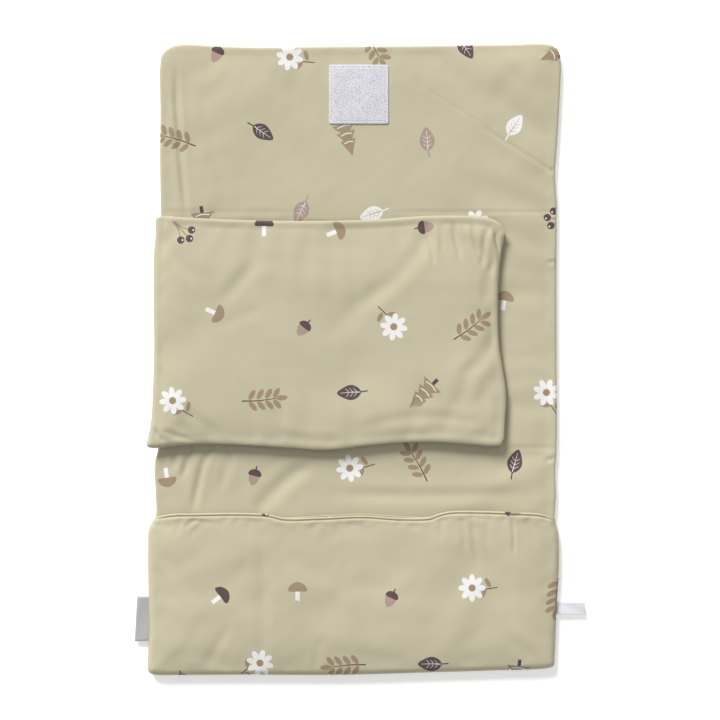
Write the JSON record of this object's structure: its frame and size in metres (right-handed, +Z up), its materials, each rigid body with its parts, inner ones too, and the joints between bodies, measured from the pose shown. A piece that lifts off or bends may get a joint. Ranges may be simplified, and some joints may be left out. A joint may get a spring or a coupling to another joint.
{
  "type": "changing pad",
  "caption": "Padded travel changing pad that folds in three, with a full-width pocket on one flap, a fold-out storage pouch and a hook-and-loop closure.",
  "frame": {"origin": "on the surface the open pad lies on, under the middle of its outline", "axes": "+Z up out of the pad's inside face, +Y along the pad's length towards the closing flap, +X to the right across the pad"},
  "size_m": [0.406, 0.57, 0.0183],
  "materials": {
    "cover_fabric": "smooth matt coated fabric, khaki-sand ground with a small scattered woodland print",
    "foam": "soft white padding",
    "loop_tape": "pale lilac-grey brushed loop fabric",
    "hook_tape": "pale grey hook fabric",
    "thread": "fine sewing thread",
    "woven_ribbon": "pale grey woven ribbon, blank",
    "satin_ribbon": "pale lilac-white satin ribbon, blank"
  },
  "bodies": {
    "middle_panel": {"middle_panel_foam": "foam", "middle_panel_front_cover": "cover_fabric", "middle_panel_back_cover": "cover_fabric", "pouch_hinge_strip": "cover_fabric"},
    "top_flap": {"top_flap_foam": "foam", "top_flap_front_cover": "cover_fabric", "top_flap_back_cover": "cover_fabric", "loop_patch": "loop_tape", "loop_patch_thread": "thread"},
    "bottom_flap": {"bottom_flap_foam": "foam", "bottom_flap_front_cover": "cover_fabric", "bottom_flap_back_cover": "cover_fabric", "hook_patch": "hook_tape", "hook_patch_thread": "thread", "pocket_front_wall": "cover_fabric", "pocket_lining": "cover_fabric", "pocket_welt": "cover_fabric", "pocket_left_edge": "cover_fabric", "pocket_right_edge": "cover_fabric", "pocket_bottom_edge": "cover_fabric", "woven_label": "woven_ribbon", "care_label": "satin_ribbon"},
    "fold_out_pouch": {"pouch_front_wall": "cover_fabric", "pouch_front_hem": "cover_fabric", "pouch_back_wall": "cover_fabric", "pouch_back_hem": "cover_fabric", "pouch_left_side": "cover_fabric", "pouch_right_side": "cover_fabric", "pouch_bottom_side": "cover_fabric"}
  },
  "joints": [
    {"name": "top_flap_fold", "type": "hinge", "parent": "middle_panel", "child": "top_flap", "pos_m": [0, 0.133, 0.0255], "axis": [1, 0, 0], "range_deg": [0, 180]},
    {"name": "bottom_flap_fold", "type": "hinge", "parent": "middle_panel", "child": "bottom_flap", "pos_m": [0, -0.079, 0.0195], "axis": [-1, 0, 0], "range_deg": [0, 180]},
    {"name": "pouch_fold_out", "type": "hinge", "parent": "middle_panel", "child": "fold_out_pouch", "pos_m": [-0.191, 0, 0.0105], "axis": [0, -1, 0], "range_deg": [0, 180]}
  ]
}
